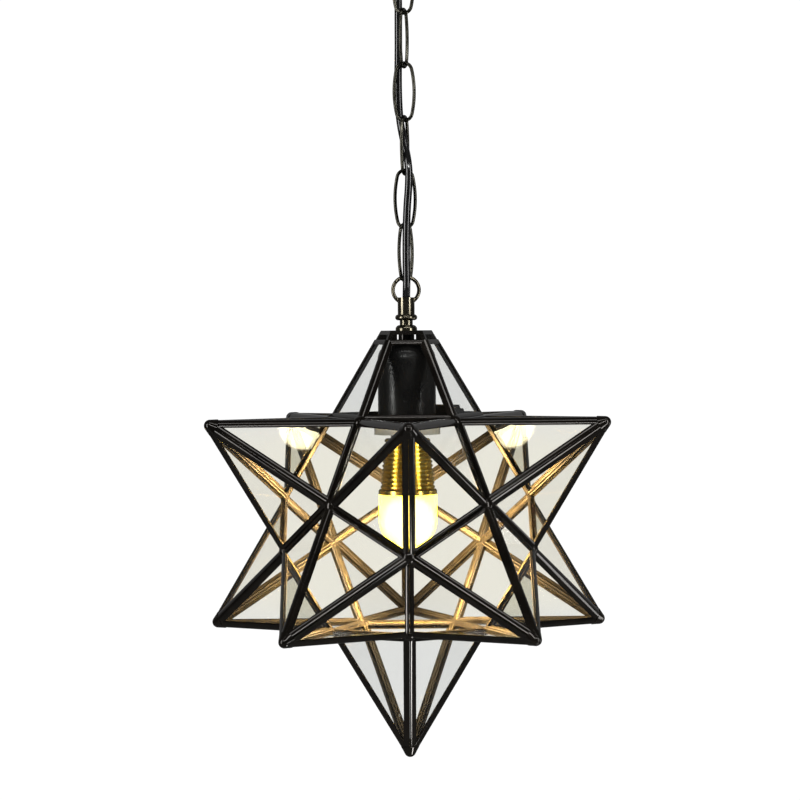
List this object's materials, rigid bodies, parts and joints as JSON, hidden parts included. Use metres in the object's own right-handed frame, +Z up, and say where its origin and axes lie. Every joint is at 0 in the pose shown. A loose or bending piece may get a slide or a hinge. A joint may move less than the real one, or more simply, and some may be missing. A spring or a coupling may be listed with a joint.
{
  "type": "star lantern pendant",
  "caption": "Star-shaped pendant lantern of clear glass points in black metal strip, hung on a chain with its cord, with a lit bulb and a hinged point for relamping.",
  "frame": {"origin": "middle of the ceiling bar's top face, on the ceiling, on the pendant's axis", "axes": "+Z up out of the ceiling face; -Y towards the viewer, with one upper point of the star facing it"},
  "size_m": [0.3004, 0.3154, 0.6636],
  "materials": {
    "black_strip": "satin black",
    "clear_glass": "clear sheet",
    "dark_brass": "antiqued",
    "chain_brass": "antiqued",
    "black_cord": "glossy sleeve",
    "plated_steel": "zinc plated",
    "black_cup": "satin black",
    "holder_plastic": "moulded",
    "rim_plastic": "moulded",
    "contact_brass": "bright",
    "nickel_cap": "rolled",
    "gold_sink": "anodised gold",
    "lit_diffuser": "frosted, lit",
    "led_board": "white coated"
  },
  "bodies": {
    "ceiling": {"ceiling_bar": "plated_steel", "canopy": "black_strip", "canopy_screws": "dark_brass", "canopy_nipple": "plated_steel", "canopy_nut": "plated_steel", "terminal_block": "holder_plastic", "ceiling_loop_washer": "dark_brass", "ceiling_loop_barrel": "dark_brass", "ceiling_loop_ring": "dark_brass", "cord_1": "black_cord"},
    "link_1": {"chain_link_1": "chain_brass", "cord_2": "black_cord"},
    "link_2": {"chain_link_2": "chain_brass", "cord_3": "black_cord"},
    "link_3": {"chain_link_3": "chain_brass", "cord_4": "black_cord"},
    "link_4": {"chain_link_4": "chain_brass", "cord_5": "black_cord"},
    "link_5": {"chain_link_5": "chain_brass", "cord_6": "black_cord"},
    "link_6": {"chain_link_6": "chain_brass", "cord_7": "black_cord"},
    "lantern": {"hub_washer": "dark_brass", "hub_barrel": "dark_brass", "hub_ring": "dark_brass", "hub_nipple": "dark_brass", "hub_nuts": "dark_brass", "crown_plate": "black_strip", "socket_cup": "black_cup", "lampholder_body": "holder_plastic", "screw_shell": "contact_brass", "centre_contact": "contact_brass", "holder_rim": "rim_plastic", "cord_8": "black_cord", "hinge_fixed_leaf": "black_strip", "tip_caps": "black_strip", "top_point_frames": "black_strip", "bottom_point_frames": "black_strip", "upper_point_1_frames": "black_strip", "upper_point_2_frames": "black_strip", "upper_point_4_frames": "black_strip", "upper_point_5_frames": "black_strip", "lower_point_1_frames": "black_strip", "lower_point_2_frames": "black_strip", "lower_point_3_frames": "black_strip", "lower_point_4_frames": "black_strip", "lower_point_5_frames": "black_strip", "top_point_glass": "clear_glass", "upper_points_glass": "clear_glass", "lower_points_glass": "clear_glass", "bottom_point_glass": "clear_glass"},
    "door": {"door_point_frames": "black_strip", "door_point_glass": "clear_glass", "door_tip_cap": "black_strip", "hinge_door_leaf": "black_strip", "hinge_pin": "black_strip"},
    "bulb": {"bulb_cap": "nickel_cap", "bulb_heat_sink": "gold_sink", "bulb_diffuser": "lit_diffuser", "led_board": "led_board"}
  },
  "joints": [
    {"name": "link_1_swing", "type": "hinge", "parent": "ceiling", "child": "link_1", "pos_m": [0, 0, -0.06505], "axis": [0.2079, 0.9781, 0], "range_deg": [-20, 20], "deforming": ["cord_1"]},
    {"name": "link_2_swing", "type": "hinge", "parent": "link_1", "child": "link_2", "pos_m": [0, 0, -0.105], "axis": [0.9781, -0.2079, 0], "range_deg": [-20, 20], "deforming": ["cord_2"]},
    {"name": "link_3_swing", "type": "hinge", "parent": "link_2", "child": "link_3", "pos_m": [0, 0, -0.1451], "axis": [0.342, 0.9397, 0], "range_deg": [-20, 20], "deforming": ["cord_3"]},
    {"name": "link_4_swing", "type": "hinge", "parent": "link_3", "child": "link_4", "pos_m": [0, 0, -0.1852], "axis": [0.9703, -0.2419, 0], "range_deg": [-20, 20], "deforming": ["cord_4"]},
    {"name": "link_5_swing", "type": "hinge", "parent": "link_4", "child": "link_5", "pos_m": [0, 0, -0.2253], "axis": [0.309, 0.9511, 0], "range_deg": [-20, 20], "deforming": ["cord_5"]},
    {"name": "link_6_swing", "type": "hinge", "parent": "link_5", "child": "link_6", "pos_m": [0, 0, -0.2654], "axis": [0.9781, -0.2079, 0], "range_deg": [-20, 20], "deforming": ["cord_6"]},
    {"name": "lantern_swing", "type": "hinge", "parent": "link_6", "child": "lantern", "pos_m": [0, 0, -0.3055], "axis": [0.6428, 0.766, 0], "range_deg": [-20, 20], "deforming": ["cord_7"]},
    {"name": "door_hinge", "type": "hinge", "parent": "lantern", "child": "door", "pos_m": [0.03025, 0.04164, -0.40445], "axis": [0.809, -0.5878, 0], "range_deg": [0, 85]},
    {"name": "bulb_unscrew", "type": "slide", "parent": "lantern", "child": "bulb", "axis": [0, 0, -1], "range_m": [0, 0.028]}
  ]
}
